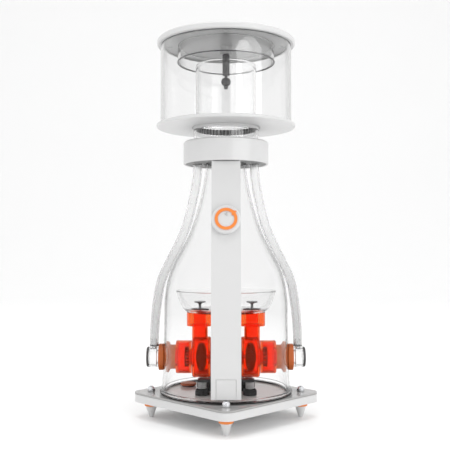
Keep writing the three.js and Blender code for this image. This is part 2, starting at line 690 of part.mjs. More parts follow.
// ---------------------------------------------------------------- lid
function lidDisc() {
  const [bore, rim] = [SPINDLE_RADIUS + GAP, LID_RADIUS];
  const [boss, lip] = [8.5, CUP_RADIUS - WALL - GAP];
  const disc = turned([
    [bore, -BOSS_DEPTH], [boss, -BOSS_DEPTH], [boss, 0], [lip - 2.2, 0], [lip - 2.2, -1.8],
    [lip, -1.8], [lip, 0], [rim - 1.5, 0], [rim, 1.2], [rim, LID_THICKNESS - 2],
    [rim - 2, LID_THICKNESS], [bore, LID_THICKNESS],
  ], ROUND_LARGE);
  const vents = [0, 1, 2, 3].map((i) => {
    const vent = cylinder(VENT_RADIUS, -5, LID_THICKNESS + 5, ROUND_SMALL);
    return vent.translate(VENT_CIRCLE, 0, 0).rotateZ((i * Math.PI) / 2);
  });
  return cut(disc, ...vents);
}

// Heights along the cleaning spindle are measured from the underside of the lid
function cleanerShaft() {
  const postTop = -BOSS_DEPTH - GAP;
  return turned([
    [0, -56.8], [2.7, -56.8], [2.7, -52.8], [5.4, -51], [6.7, -47.2], [5.4, -43.4], [2, -41.5],
    [2, -38.8], [POST_RADIUS, -38.8], [POST_RADIUS, postTop], [SPINDLE_RADIUS, postTop],
    [SPINDLE_RADIUS, LID_THICKNESS + 8], [0, LID_THICKNESS + 8],
  ], ROUND_SMALL);
}

function cleanerKnob() {
  const [radius, height, bore] = [13, 11, SPINDLE_RADIUS + GAP];
  return turned([
    [bore, 0], [radius, 0], [radius, height - 2], [radius - 2, height], [0, height],
    [0, 8.3], [bore, 8.3],
  ], ROUND_MEDIUM);
}

function addLid() {
  const lid = addGroup(skimmer, [0, 0, CUP_TOP + GAP]);
  add(lid, "lid", lidDisc(), whitePlastic);
  const skirt = tube(SKIRT_RADIUS, SKIRT_RADIUS - WALL, SKIRT_Z, CUP_TOP, ROUND_LARGE);
  add(lid, "lid_skirt", skirt, clearAcrylic, [0, 0, -CUP_TOP - GAP]);
  add(lid, "cleaner_shaft", cleanerShaft(), darkGrey);
  add(lid, "cleaner_knob", cleanerKnob(), blackPlastic, [0, 0, LID_THICKNESS + GAP]);
}

addBase();
addBody();
addColumn();
addPump();
addCup();
addLid();

export default skimmer;
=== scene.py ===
"""Looks for the protein skimmer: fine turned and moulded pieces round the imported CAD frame.

Most turned pieces are made again from their CAD node's own section, with rounded edges and a
smooth round, so their size and place are the CAD's. Lengths are metres, except in the profiles
given to ring_solid, rod_solid, drill and add_pin, which are millimetres.
"""
import json
import math

import bmesh
import bpy
from mathutils import Matrix, Vector


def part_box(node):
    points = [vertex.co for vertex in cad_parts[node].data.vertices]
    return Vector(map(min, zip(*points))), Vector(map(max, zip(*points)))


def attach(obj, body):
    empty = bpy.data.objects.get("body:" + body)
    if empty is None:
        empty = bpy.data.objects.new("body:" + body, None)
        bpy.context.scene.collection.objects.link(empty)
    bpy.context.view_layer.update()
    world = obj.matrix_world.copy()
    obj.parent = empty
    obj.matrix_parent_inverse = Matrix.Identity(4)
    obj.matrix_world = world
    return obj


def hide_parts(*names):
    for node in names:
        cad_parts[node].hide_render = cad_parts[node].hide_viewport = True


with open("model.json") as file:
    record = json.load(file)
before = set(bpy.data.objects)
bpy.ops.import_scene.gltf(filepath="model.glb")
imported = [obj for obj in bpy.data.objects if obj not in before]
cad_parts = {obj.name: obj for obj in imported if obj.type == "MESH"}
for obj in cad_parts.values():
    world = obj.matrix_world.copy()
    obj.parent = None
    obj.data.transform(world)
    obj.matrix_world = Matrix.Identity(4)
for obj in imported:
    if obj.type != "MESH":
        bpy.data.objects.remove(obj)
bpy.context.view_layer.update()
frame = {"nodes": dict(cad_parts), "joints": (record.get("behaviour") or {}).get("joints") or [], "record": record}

MM = 0.001
BODY_OF = {n: b for b, ns in frame["record"]["behaviour"]["bodies"].items() for n in ns}
SLOT_OF = {s["node"]: s["material_slot"] for s in frame["record"]["subparts"]}
SIDES = {"right": 1, "left": -1}
CORNERS = ("front", "right", "rear", "left")
FINE = 128  # sides of a circle on a large piece
MEDIUM = 64
SMALL = 40
SHARP_DEGREES = 38  # a steeper edge than this is shaded as an edge
UNROUNDED = 0.01 * MM  # the bevel of a cutter, which leaves its corners as good as sharp
CLEARANCE = 0.3 * MM  # between the body's wall and the flange or nut that is cut to it
WALL_INSIDE, WALL_OUTSIDE = 79.9 * MM, 83.4 * MM  # the body's wall where the intakes pass it
PIPE_REACH = 34.6 * MM  # from the middle to each of the pump's outlet pipes
PIN_RADIUS = 1.1 * MM  # of the pins on the impellers and in the intakes
PLATE_CORNER = 15 * MM  # the radius of the base's corners
SECTION_OFFSET = 0.005  # degrees that a section stands clear of the CAD's own corners

# ------------------------------------------------------------------ camera, light and floor
LOOK_UP = math.atan(24 / 741)  # the camera looks up by this much
EYE = Vector((-0.0013, -0.988, 0.2217))
LENS = 59.3


def add_camera():
    data = bpy.data.cameras.new("camera")
    data.lens = LENS
    data.sensor_width = 36
    camera = bpy.data.objects.new("camera", data)
    camera.location = EYE
    camera.rotation_euler = (math.pi / 2 + LOOK_UP, 0, 0)
    bpy.context.scene.collection.objects.link(camera)
    bpy.context.scene.camera = camera


def add_softbox(name, place, target, size, power):
    data = bpy.data.lights.new(name, "AREA")
    data.shape = "RECTANGLE"
    data.size, data.size_y = size
    data.energy = power
    light = bpy.data.objects.new(name, data)
    light.location = place
    light.rotation_euler = (Vector(target) - Vector(place)).to_track_quat("-Z", "Y").to_euler()
    bpy.context.scene.collection.objects.link(light)


def add_world():
    """A bright studio all round and above, darker towards the front, where the camera stands."""
    world = bpy.data.worlds.new("studio")
    bpy.context.scene.world = world
    world.use_nodes = True
    nodes, links = world.node_tree.nodes, world.node_tree.links
    nodes.clear()
    where = nodes.new("ShaderNodeTexCoord")
    split = nodes.new("ShaderNodeSeparateXYZ")
    ramp = nodes.new("ShaderNodeValToRGB")
    background = nodes.new("ShaderNodeBackground")
    output = nodes.new("ShaderNodeOutputWorld")
    back = nodes.new("ShaderNodeMapRange")
    back.inputs["From Min"].default_value = -1
    links.new(where.outputs["Generated"], split.inputs[0])
    links.new(split.outputs["Y"], back.inputs["Value"])
    links.new(back.outputs[0], ramp.inputs["Fac"])
    links.new(ramp.outputs["Color"], background.inputs["Color"])
    links.new(background.outputs[0], output.inputs["Surface"])
    stops = ramp.color_ramp.elements
    stops[0].position, stops[0].color = 0.0, (0.68, 0.68, 0.68, 1)
    stops[1].position, stops[1].color = 0.45, (1.0, 1.0, 1.0, 1)
    background.inputs["Strength"].default_value = 1.06


def add_softboxes():
    middle = (0, 0, 0.25)
    add_softbox("key", (1.29, -1.53, 0.74), (0, 0, 0.74), (1.7, 0.6), 10)
    add_softbox("fill", (-1.6, -1.5, 1.3), middle, (2.2, 2.2), 4)
    add_softbox("top", (0, -0.3, 2.4), middle, (1.6, 1.6), 14)


def add_stage():
    """A pale floor that curves up into a back wall, all one sheet."""
    mesh = bpy.data.meshes.new("backdrop")
    half, back, front, height, bend = 4.0, 3.0, -4.0, 4.0, 0.8
    profile = [(front, 0.0), (back - bend, 0.0)]
    steps = 16
    for i in range(1, steps + 1):
        angle = i / steps * math.pi / 2
        profile.append((back - bend + bend * math.sin(angle), bend - bend * math.cos(angle)))
    profile.append((back, height))
    points = [(x, y, z) for y, z in profile for x in (-half, half)]
    faces = [(2 * i, 2 * i + 1, 2 * i + 3, 2 * i + 2) for i in range(len(profile) - 1)]
    mesh.from_pydata(points, [], faces)
    mesh.shade_smooth()
    backdrop = bpy.data.objects.new("backdrop", mesh)
    bpy.context.scene.collection.objects.link(backdrop)
    paint = new_material("backdrop", (0.97, 0.97, 0.97), 0.8)
    mottle(paint, scale=3, low=0.985, high=1.0)
    mesh.materials.append(paint)


# ------------------------------------------------------------------ materials
def new_material(name, color, roughness, **sockets):
    material = bpy.data.materials.new(name)
    material.use_nodes = True
    shader = material.node_tree.nodes["Principled BSDF"]
    shader.inputs["Base Color"].default_value = (*color, 1)
    shader.inputs["Roughness"].default_value = roughness
    for socket, value in sockets.items():
        shader.inputs[socket.replace("_", " ")].default_value = value
    return material


def shade_of_grey(value):
    return (value, value, value, 1)


def _noise(material, scale, detail=3.0):
    nodes, links = material.node_tree.nodes, material.node_tree.links
    place = nodes.new("ShaderNodeTexCoord")
    noise = nodes.new("ShaderNodeTexNoise")
    noise.inputs["Scale"].default_value = scale
    noise.inputs["Detail"].default_value = detail
    links.new(place.outputs["Object"], noise.inputs["Vector"])
    return noise


def mottle(material, scale, low, high):
    """Lets the base colour drift between two shares of itself."""
    nodes, links = material.node_tree.nodes, material.node_tree.links
    shader = nodes["Principled BSDF"]
    color = tuple(shader.inputs["Base Color"].default_value)[:3]
    noise = _noise(material, scale)
    ramp = nodes.new("ShaderNodeValToRGB")
    ramp.color_ramp.elements[0].color = (*(c * low for c in color), 1)
    ramp.color_ramp.elements[1].color = (*(min(c * high, 1) for c in color), 1)
    links.new(noise.outputs["Fac"], ramp.inputs["Fac"])
    links.new(ramp.outputs["Color"], shader.inputs["Base Color"])


def polish(material, scale, low, high):
    """Lets the roughness drift, as handling and moulding leave it."""
    nodes, links = material.node_tree.nodes, material.node_tree.links
    noise = _noise(material, scale, 5.0)
    spread = nodes.new("ShaderNodeMapRange")
    spread.inputs["To Min"].default_value = low
    spread.inputs["To Max"].default_value = high
    links.new(noise.outputs["Fac"], spread.inputs["Value"])
    links.new(spread.outputs[0], nodes["Principled BSDF"].inputs["Roughness"])


def grain(material, scale, distance, strength=0.3):
    nodes, links = material.node_tree.nodes, material.node_tree.links
    noise = _noise(material, scale, 6.0)
    bump = nodes.new("ShaderNodeBump")
    bump.inputs["Strength"].default_value = strength
    bump.inputs["Distance"].default_value = distance
    links.new(noise.outputs["Fac"], bump.inputs["Height"])
    links.new(bump.outputs[0], nodes["Principled BSDF"].inputs["Normal"])


def white_plastic():
    material = new_material("white_plastic", (0.63, 0.63, 0.63), 0.3, Coat_Weight=0.12)
    mottle(material, 40, 0.985, 1.01)
    polish(material, 120, 0.26, 0.38)
    grain(material, 900, 0.02 * MM, 0.15)
    return material


def cover_acrylic(edge=81 * MM):
    """Grey sheet that is paler within a distance of its middle, where it lies inside the body: painted light,
    standing in for the light that reaches it through the clear body.
    """
    material = new_material("cover_acrylic", (0.36, 0.355, 0.35), 0.22, Coat_Weight=0.05)
    mottle(material, 30, 0.95, 1.04)
    polish(material, 90, 0.1, 0.2)
    nodes, links = material.node_tree.nodes, material.node_tree.links
    shader = nodes["Principled BSDF"]
    outside = shader.inputs["Base Color"].links[0].from_socket
    place = nodes.new("ShaderNodeTexCoord")
    flat = nodes.new("ShaderNodeVectorMath")
    flat.operation = "MULTIPLY"
    flat.inputs[1].default_value = (1, 1, 0)
    reach = nodes.new("ShaderNodeVectorMath")
    reach.operation = "LENGTH"
    inside = nodes.new("ShaderNodeMath")
    inside.operation = "LESS_THAN"
    inside.inputs[1].default_value = edge
    # Painted light: the part within the body's wall gets a pale colour in place of the light that reaches it there
    blend = nodes.new("ShaderNodeMix")
    blend.data_type = "RGBA"
    blend.inputs["B"].default_value = (0.86, 0.83, 0.81, 1)
    links.new(place.outputs["Object"], flat.inputs[0])
    links.new(flat.outputs["Vector"], reach.inputs[0])
    links.new(reach.outputs["Value"], inside.inputs[0])
    links.new(inside.outputs[0], blend.inputs["Factor"])
    links.new(outside, blend.inputs["A"])
    links.new(blend.outputs["Result"], shader.inputs["Base Color"])
    return material


def grey_acrylic():
    material = new_material("grey_acrylic", (0.46, 0.45, 0.445), 0.14, Coat_Weight=0.25)
    mottle(material, 30, 0.95, 1.04)
    polish(material, 90, 0.08, 0.18)
    return material


def clear_acrylic():
    return clear("clear_acrylic", 0.2, 1.32)


def cup_acrylic():
    """The same clear sheet with its full gloss, for the cup and the skirt."""
    return clear("cup_acrylic", 0.8, 1.49)


def clear(name, gloss, ior):
    material = new_material(name, (0.99, 0.99, 0.99), 0.02, IOR=ior, Transmission_Weight=1.0,
                            Specular_Tint=shade_of_grey(gloss))
    mottle(material, 12, 0.99, 1.0)
    polish(material, 60, 0.0, 0.04)
    # Painted shade where the sheet is seen edge on
    paint_edge_shade(material)
    return material


def paint_edge_shade(material, face=0.975, edge=0.62):
    """Greys a clear sheet where it is seen edge on: painted shade, standing in for the dark lines that its
    thickness and the light bent through it show there.
    """
    nodes, links = material.node_tree.nodes, material.node_tree.links
    shader = nodes["Principled BSDF"]
    plain = shader.inputs["Base Color"].links[0].from_socket
    slant = nodes.new("ShaderNodeLayerWeight")
    ramp = nodes.new("ShaderNodeValToRGB")
    stops = ramp.color_ramp.elements
    stops[0].position, stops[0].color = 0.0, shade_of_grey(face)
    stops[1].position, stops[1].color = 0.84, shade_of_grey(edge)
    for place, share in ((0.52, 0.93), (0.66, 0.75), (0.76, 0.40)):
        stops.new(place).color = shade_of_grey(edge + (face - edge) * share)
    both = nodes.new("ShaderNodeMix")
    both.data_type = "RGBA"
    both.blend_type = "MULTIPLY"
    both.inputs["Factor"].default_value = 1.0
    links.new(slant.outputs["Facing"], ramp.inputs["Fac"])
    links.new(plain, both.inputs["A"])
    links.new(ramp.outputs["Color"], both.inputs["B"])
    links.new(both.outputs["Result"], shader.inputs["Base Color"])


def red_acrylic():
    # Painted glow: a faint orange-red emission, standing in for light through the translucent red sheet; it is no
    # lamp
    material = new_material("red_acrylic", (1.0, 0.14, 0.03), 0.08, IOR=1.25,
                            Transmission_Weight=0.96, Emission_Strength=0.04,
                            Specular_Tint=shade_of_grey(0.1))
    painted_glow = material.node_tree.nodes["Principled BSDF"].inputs["Emission Color"]
    painted_glow.default_value = (1.0, 0.06, 0.0, 1)
    mottle(material, 35, 0.9, 1.05)
    polish(material, 80, 0.08, 0.2)
    return material


def paint_shade_down(material, low, high, share):
    """Greys a material between two heights, down to a share of its colour at the lower one: painted shade, darker
    towards the bottom.
    """
    nodes, links = material.node_tree.nodes, material.node_tree.links
    shader = nodes["Principled BSDF"]
    plain = shader.inputs["Base Color"].links[0].from_socket
    place = nodes.new("ShaderNodeTexCoord")
    split = nodes.new("ShaderNodeSeparateXYZ")
    height = nodes.new("ShaderNodeMapRange")
    height.inputs["From Min"].default_value = low
    height.inputs["From Max"].default_value = high
    height.inputs["To Min"].default_value = share
    height.inputs["To Max"].default_value = 1.0
    both = nodes.new("ShaderNodeVectorMath")
    both.operation = "SCALE"
    links.new(place.outputs["Object"], split.inputs[0])
    links.new(split.outputs["Z"], height.inputs["Value"])
    links.new(plain, both.inputs[0])
    links.new(height.outputs[0], both.inputs["Scale"])
    links.new(both.outputs["Vector"], shader.inputs["Base Color"])


def amber_acrylic():
    # Painted glow: an orange emission, standing in for light through the amber sheet; it is no lamp
    material = new_material("amber_acrylic", (0.62, 0.16, 0.03), 0.15, IOR=1.3,
                            Transmission_Weight=0.2, Emission_Strength=0.14,
                            Specular_Tint=shade_of_grey(0.2), Specular_IOR_Level=0.2)
    painted_glow = material.node_tree.nodes["Principled BSDF"].inputs["Emission Color"]
    painted_glow.default_value = (0.9, 0.25, 0.05, 1)
    mottle(material, 35, 0.88, 1.08)
    polish(material, 80, 0.12, 0.25)
    return material


def smoked_acrylic():
    material = new_material("smoked_acrylic", (0.22, 0.22, 0.225), 0.12, IOR=1.49,
                            Transmission_Weight=0.4)
    mottle(material, 40, 0.9, 1.08)
    polish(material, 90, 0.08, 0.2)
    return material


def grey_rubber():
    material = new_material("grey_rubber", (0.42, 0.42, 0.42), 0.5)
    mottle(material, 90, 0.9, 1.08)
    grain(material, 1200, 0.05 * MM)
    return material


def orange_plastic():
    material = new_material("orange_plastic", (0.82, 0.23, 0.04), 0.3)
    mottle(material, 60, 0.93, 1.05)
    polish(material, 120, 0.25, 0.4)
    return material


def orange_rubber():
    material = new_material("orange_rubber", (0.52, 0.11, 0.015), 0.5)
    mottle(material, 90, 0.9, 1.06)
    grain(material, 1200, 0.05 * MM)
    return material


def black_plastic():
    material = new_material("black_plastic", (0.022, 0.02, 0.02), 0.4)
    mottle(material, 60, 0.8, 1.3)
    grain(material, 1500, 0.04 * MM, 0.4)
    return material


# Painted shade: the dark grey of the sheet under the collar, standing in for the shade there
def painted_shade_grey():
    material = new_material("painted_shade_grey", (0.20, 0.20, 0.20), 0.5)
    mottle(material, 60, 0.9, 1.1)
    grain(material, 900, 0.05 * MM)
    return material


def dark_plastic():
    material = new_material("dark_plastic", (0.09, 0.09, 0.092), 0.3)
    mottle(material, 60, 0.9, 1.12)
    polish(material, 120, 0.25, 0.42)
    return material


def black_rubber():
    material = new_material("black_rubber", (0.02, 0.02, 0.02), 0.75)
    mottle(material, 80, 0.8, 1.25)
    grain(material, 1200, 0.08 * MM, 0.5)
    return material


def grey_silicone():
    material = new_material("grey_silicone", (0.99, 0.99, 0.99), 0.15, IOR=1.41,
                            Transmission_Weight=0.96, Specular_Tint=shade_of_grey(0.5))
    mottle(material, 40, 0.98, 1.01)
    polish(material, 100, 0.14, 0.28)
    # Painted shade where the hose is seen edge on
    paint_edge_shade(material, 1.0, 0.80)
    # Painted shade: the hose greyed towards its lower end
    paint_shade_down(material, 0.12, 0.27, 0.80)
    return material


def steel():
    material = new_material("steel", (0.72, 0.73, 0.75), 0.22, Metallic=1.0)
    mottle(material, 150, 0.94, 1.03)
    polish(material, 400, 0.16, 0.32)
    return material


MAKERS = {maker.__name__: maker for maker in (
    white_plastic, grey_acrylic, clear_acrylic, cup_acrylic, red_acrylic, amber_acrylic,
    orange_plastic, orange_rubber, black_plastic, dark_plastic, black_rubber, grey_silicone, steel,
    smoked_acrylic, grey_rubber, cover_acrylic, painted_shade_grey)}
MATERIALS = {}


def material_for(looks):
    if looks not in MATERIALS:
        MATERIALS[looks] = MAKERS[looks]()
    return MATERIALS[looks]


# ------------------------------------------------------------------ outlines
ALONG = {
    "Z": Matrix.Identity(4),
    "X": Matrix.Rotation(math.pi / 2, 4, "Y"),
    "Y": Matrix.Rotation(-math.pi / 2, 4, "X"),
}


def placed(axis, centre=(0, 0, 0)):
    """The matrix that takes a piece turned about Z to its own axis and centre."""
    turn = ALONG[axis] if isinstance(axis, str) else Vector((0, 0, 1)).rotation_difference(
        Vector(axis)).to_matrix().to_4x4()
    return Matrix.Translation(centre) @ turn


def section(node, where=Matrix.Identity(4), angle=90.0):
    """A CAD node's outline on one side of its axis, as (radius, height) points in order."""
    work = bmesh.new()
    work.from_mesh(frame["nodes"][node].data)
    bmesh.ops.transform(work, matrix=where.inverted(), verts=work.verts)
    bmesh.ops.transform(work, verts=work.verts,
                        matrix=Matrix.Rotation(-math.radians(angle + SECTION_OFFSET), 4, "Z"))
    bmesh.ops.remove_doubles(work, verts=work.verts, dist=1e-6)
    cut = bmesh.ops.bisect_plane(work, geom=work.verts[:] + work.edges[:] + work.faces[:],
                                 dist=1e-9, plane_co=(0, 0, 0), plane_no=(0, 1, 0))
    lines = []
    for edge in (e for e in cut["geom_cut"] if isinstance(e, bmesh.types.BMEdge)):
        (x0, _, z0), (x1, _, z1) = (v.co for v in edge.verts)
        if x0 <= 0 and x1 <= 0:
            continue
        if x0 < 0 or x1 < 0:
            share = x0 / (x0 - x1)
            z = z0 + share * (z1 - z0)
            (x0, z0), (x1, z1) = ((0.0, z), (x1, z1)) if x0 < 0 else ((x0, z0), (0.0, z))
        lines.append(((x0, z0), (x1, z1)))
    work.free()
    return chained(lines)


def chained(lines, reach=0.06 * MM):
    """Puts loose line ends in order, drops points that nearly meet, and keeps the longest run."""
    def near(p, q):
        return math.dist(p, q) < reach

    lines = [line for line in lines if not near(*line)]
    runs = []
    while lines:
        run = list(lines.pop())
        grew = True
        while grew:
            grew = False
            for line in lines:
                for start, end in (line, line[::-1]):
                    if near(run[-1], start):
                        run.append(end)
                    elif near(run[0], start):
                        run.insert(0, end)
                    else:
                        continue
                    lines.remove(line)
                    grew = True
                    break
                if grew:
                    break
        runs.append(run)
    best = max(runs, key=lambda r: sum(math.dist(a, b) for a, b in zip(r, r[1:])))
    closed = near(best[0], best[-1])
    if closed:
        best = best[:-1]
    return straightened(best, closed), closed


def turn_at(before, here, after):
    a = math.atan2(here[1] - before[1], here[0] - before[0])
    b = math.atan2(after[1] - here[1], after[0] - here[0])
    return abs((b - a + math.pi) % (2 * math.pi) - math.pi)


def straightened(points, closed, least=math.radians(0.6)):
    """Drops the points that lie on a straight stretch."""
    kept = []
    for i, here in enumerate(points):
        if not closed and i in (0, len(points) - 1):
            kept.append(here)
            continue
        before = kept[-1] if kept else points[i - 1]
        if turn_at(before, here, points[(i + 1) % len(points)]) > least:
            kept.append(here)
    return kept


def rounded(points, closed, radius, steps=4, corner=math.radians(20)):
    """Rounds the corners with arcs, and runs a smooth curve through the shallow bends."""
    count = len(points)
    sharp = []
    for i, here in enumerate(points):
        if not closed and i in (0, count - 1):
            sharp.append(True)
        else:
            sharp.append(turn_at(points[i - 1], here, points[(i + 1) % count]) > corner)
    result = []
    for i, here in enumerate(points):
        before, after = Vector(points[i - 1]), Vector(points[(i + 1) % count])
        here = Vector(here)
        ends = not closed and i in (0, count - 1)
        if ends or not sharp[i]:
            result.append(tuple(here))
        else:
            u, v = (before - here), (after - here)
            half = u.angle(v) / 2
            reach = min(radius / math.tan(half), 0.45 * u.length, 0.45 * v.length)
            u, v = u.normalized(), v.normalized()
            start, end = here + u * reach, here + v * reach
            for k in range(steps + 1):
                t = k / steps
                a, b = start.lerp(here, t), here.lerp(end, t)
                result.append(tuple(a.lerp(b, t)))
        following = (i + 1) % count
        if (closed or i < count - 1) and not (sharp[i] and sharp[following]):
            result += bowed(points, i, sharp)
    return result


def bowed(points, i, sharp, steps=8):
    """Points between outline points i and i + 1, on a smooth curve through its neighbours."""
    count = len(points)
    p1, p2 = Vector(points[i]), Vector(points[(i + 1) % count])
    p0 = p1 * 2 - p2 if sharp[i] else Vector(points[i - 1])
    p3 = p2 * 2 - p1 if sharp[(i + 1) % count] else Vector(points[(i + 2) % count])
    knots = [0.0]
    for a, b in ((p0, p1), (p1, p2), (p2, p3)):
        knots.append(knots[-1] + max((b - a).length, 1e-9) ** 0.5)
    made = []
    for k in range(1, steps):
        t = knots[1] + (knots[2] - knots[1]) * k / steps

        def mix(a, b, ta, tb):
            return a * ((tb - t) / (tb - ta)) + b * ((t - ta) / (tb - ta))

        a1, a2, a3 = (mix(p0, p1, knots[0], knots[1]), mix(p1, p2, knots[1], knots[2]),
                      mix(p2, p3, knots[2], knots[3]))
        b1, b2 = mix(a1, a2, knots[0], knots[2]), mix(a2, a3, knots[1], knots[3])
        made.append(tuple(mix(b1, b2, knots[1], knots[2])))
    return made


# ------------------------------------------------------------------ meshes
def mesh_object(name, work):
    bmesh.ops.remove_doubles(work, verts=work.verts, dist=1e-7)
    bmesh.ops.recalc_face_normals(work, faces=work.faces)
    mesh = bpy.data.meshes.new(name)
    work.to_mesh(mesh)
    work.free()
    made = bpy.data.objects.new(name, mesh)
    bpy.context.scene.collection.objects.link(made)
    shade(made)
    return made


def shade(made):
    made.data.shade_smooth()
    made.data.set_sharp_from_angle(angle=math.radians(SHARP_DEGREES))


def spun(name, outline, closed, where, sides):
    """A solid turned from an outline of (radius, height) points, set on its own axis."""
    work = bmesh.new()
    rings = []
    for radius, height in outline:
        if radius < 1e-7:
            rings.append([work.verts.new((0, 0, height))] * sides)
            continue
        ring = []
        for k in range(sides):
            angle = 2 * math.pi * k / sides
            spot = (radius * math.cos(angle), radius * math.sin(angle), height)
            ring.append(work.verts.new(spot))
        rings.append(ring)
    pairs = list(zip(rings, rings[1:])) + ([(rings[-1], rings[0])] if closed else [])
    for lower, upper in pairs:
        for k in range(sides):
            m = (k + 1) % sides
            corners = list(dict.fromkeys((lower[k], lower[m], upper[m], upper[k])))
            if len(corners) > 2:
                work.faces.new(corners)
    bmesh.ops.transform(work, matrix=where, verts=work.verts)
    return mesh_object(name, work)


def ring_solid(name, profile, where, sides=MEDIUM, bevel=0.3 * MM):
    """A turned ring from a closed outline in millimetres."""
    points = [(r * MM, h * MM) for r, h in profile]
    return spun(name, rounded(points, True, bevel), True, where, sides)


def rod_solid(name, profile, where, sides=MEDIUM, bevel=0.3 * MM):
    """A turned solid with no bore, from an outline in millimetres that starts and ends at r = 0."""
    points = [(r * MM, h * MM) for r, h in profile]
    return spun(name, rounded(points, False, bevel), False, where, sides)


def drill(radius, start, end, where, sides=MEDIUM, bevel=UNROUNDED):
    """A round cutter along an axis, from its radius and ends in millimetres."""
    profile = [(0, start), (radius, start), (radius, end), (0, end)]
    return rod_solid("hole", profile, where, sides, bevel)


def box_solid(name, size, where):
    work = bmesh.new()
    bmesh.ops.create_cube(work, size=1)
    bmesh.ops.transform(work, matrix=where @ Matrix.Diagonal((*size, 1)), verts=work.verts)
    return mesh_object(name, work)


def combine(base, others, operation):
    """Joins or cuts with other solids, which are used up."""
    for other in others:
        step = base.modifiers.new("step", "BOOLEAN")
        step.operation = operation
        step.solver = "EXACT"
        step.object = other
        bpy.context.view_layer.update()
        made = bpy.data.meshes.new_from_object(
            base.evaluated_get(bpy.context.evaluated_depsgraph_get()))
        base.modifiers.clear()
        base.data = made
        bpy.data.objects.remove(other)
    shade(base)
    return base


def soften(piece, width, segments=3, angle=35):
    """Rounds the edges of a finished solid."""
    bevel = piece.modifiers.new("edges", "BEVEL")
    bevel.width = width
    bevel.segments = segments
    bevel.limit_method = "ANGLE"
    bevel.angle_limit = math.radians(angle)
    bpy.context.view_layer.update()
    made = bpy.data.meshes.new_from_object(
        piece.evaluated_get(bpy.context.evaluated_depsgraph_get()))
    piece.modifiers.clear()
    piece.data = made
    shade(piece)
    return piece


def show(piece, body, slot, *nodes, looks=None):
    """Gives a finished piece its material, sets it on its body and hides the CAD nodes that it replaces."""
    piece.data.materials.clear()
    piece.data.materials.append(material_for(looks or slot))
    weigh = piece.modifiers.new("even_normals", "WEIGHTED_NORMAL")
    weigh.keep_sharp = True
    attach(piece, body)
    if nodes:
        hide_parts(*nodes)
    return piece


def remade(node, where=Matrix.Identity(4), angle=90.0, sides=FINE, bevel=0.4 * MM, cuts=(),
           looks=None):
    """Turns a CAD node again, smooth and with rounded edges, from its own section."""
    outline, closed = section(node, where, angle)
    piece = spun(f"{node}_fine", rounded(outline, closed, bevel), closed, where, sides)
    if cuts:
        combine(piece, cuts, "DIFFERENCE")
    return show(piece, BODY_OF[node], SLOT_OF[node], node, looks=looks)


def softened(node, width):
    """The CAD node's own shape, welded, with its edges rounded."""
    work = bmesh.new()
    work.from_mesh(frame["nodes"][node].data)
    bmesh.ops.remove_doubles(work, verts=work.verts, dist=1e-6)
    bmesh.ops.dissolve_limit(work, angle_limit=math.radians(0.5), verts=work.verts,
                             edges=work.edges)
    piece = mesh_object(f"{node}_fine", work)
    soften(piece, width)
    return show(piece, BODY_OF[node], SLOT_OF[node], node)


def centre_of(node):
    low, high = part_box(node)
    return (low + high) / 2


def upright(node):
    """A node's own vertical axis."""
    middle = centre_of(node)
    return placed("Z", (middle.x, middle.y, 0))


def outward(side):
    """Half a turn for the left side, none for the right."""
    return Matrix.Rotation(0.0 if side == "right" else math.pi, 4, "Z")


def pump_axis(side="right"):
    """The pump's axis, pointing out on the side that is named."""
    height = centre_of("rotor_shaft").z
    return Matrix.Translation((0, 0, height)) @ outward(side) @ ALONG["X"]


def torus(name, radius, thickness, where, body, slot, sides=MEDIUM):
    steps = 12
    outline = []
    for k in range(steps):
        angle = 2 * math.pi * k / steps
        outline.append((radius + thickness * math.cos(angle), thickness * math.sin(angle)))
    return show(spun(name, outline, True, where, sides), body, slot)


# ------------------------------------------------------------------ base
def rounded_square(reach, corner, steps=12):
    """A square standing on its corner: reach is from its middle to the end of a rounded corner."""
    centre = reach - corner
    points = []
    for quarter in range(4):
        turn = quarter * math.pi / 2
        for k in range(steps + 1):
            angle = turn + (k / steps - 0.5) * math.pi / 2
            points.append((centre * math.cos(turn) + corner * math.cos(angle),
                           centre * math.sin(turn) + corner * math.sin(angle)))
    return points


def plate(node, holes, edge, looks=None):
    """A plate of the base with its holes, given as (x, y, radius in millimetres)."""
    low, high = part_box(node)
    work = bmesh.new()
    outline = rounded_square(high.x, PLATE_CORNER)
    face = work.faces.new([work.verts.new((x, y, low.z)) for x, y in outline])
    top = bmesh.ops.extrude_face_region(work, geom=[face])["geom"]
    moved = [v for v in top if isinstance(v, bmesh.types.BMVert)]
    bmesh.ops.translate(work, vec=(0, 0, high.z - low.z), verts=moved)
    piece = mesh_object(f"{node}_fine", work)
    middle_z = (low.z + high.z) / 2
    combine(piece, [drill(radius, -20, 20, Matrix.Translation((x, y, middle_z)), SMALL)
                    for x, y, radius in holes], "DIFFERENCE")
    soften(piece, edge)
    return show(piece, "root", SLOT_OF[node], node, looks=looks)


def make_base():
    holes = []
    for corner in CORNERS:
        middle = centre_of(f"base_screw_{corner}")
        holes.append((middle.x, middle.y, 2.8))
    drain = centre_of("drain_plug")
    holes.append((drain.x, drain.y, 6))
    plate("base_plate", holes, 0.7 * MM)
    plate("base_cover", holes, 0.5 * MM, looks="cover_acrylic")
    for corner in CORNERS:
        foot = f"foot_{corner}"
        remade(foot, upright(foot), sides=SMALL, bevel=0.5 * MM)
        band = [(6.7, 16.9), (7.4, 14.9), (8.6, 14.9), (9.0, 15.4), (9.0, 18.2), (8.6, 18.6),
                (6.7, 18.6)]
        show(ring_solid(f"foot_ring_{corner}", band, upright(foot), SMALL), "root",
             "orange_plastic")
        make_screw(f"base_screw_{corner}")
    remade("drain_plug", upright("drain_plug"), sides=MEDIUM, bevel=0.6 * MM,
           looks="orange_rubber")
    gasket = placed("Z", (drain.x, drain.y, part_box("base_cover")[1].z + 0.8 * MM))
    torus("drain_gasket", 8.6 * MM, 0.7 * MM, gasket, "root", "black_rubber")


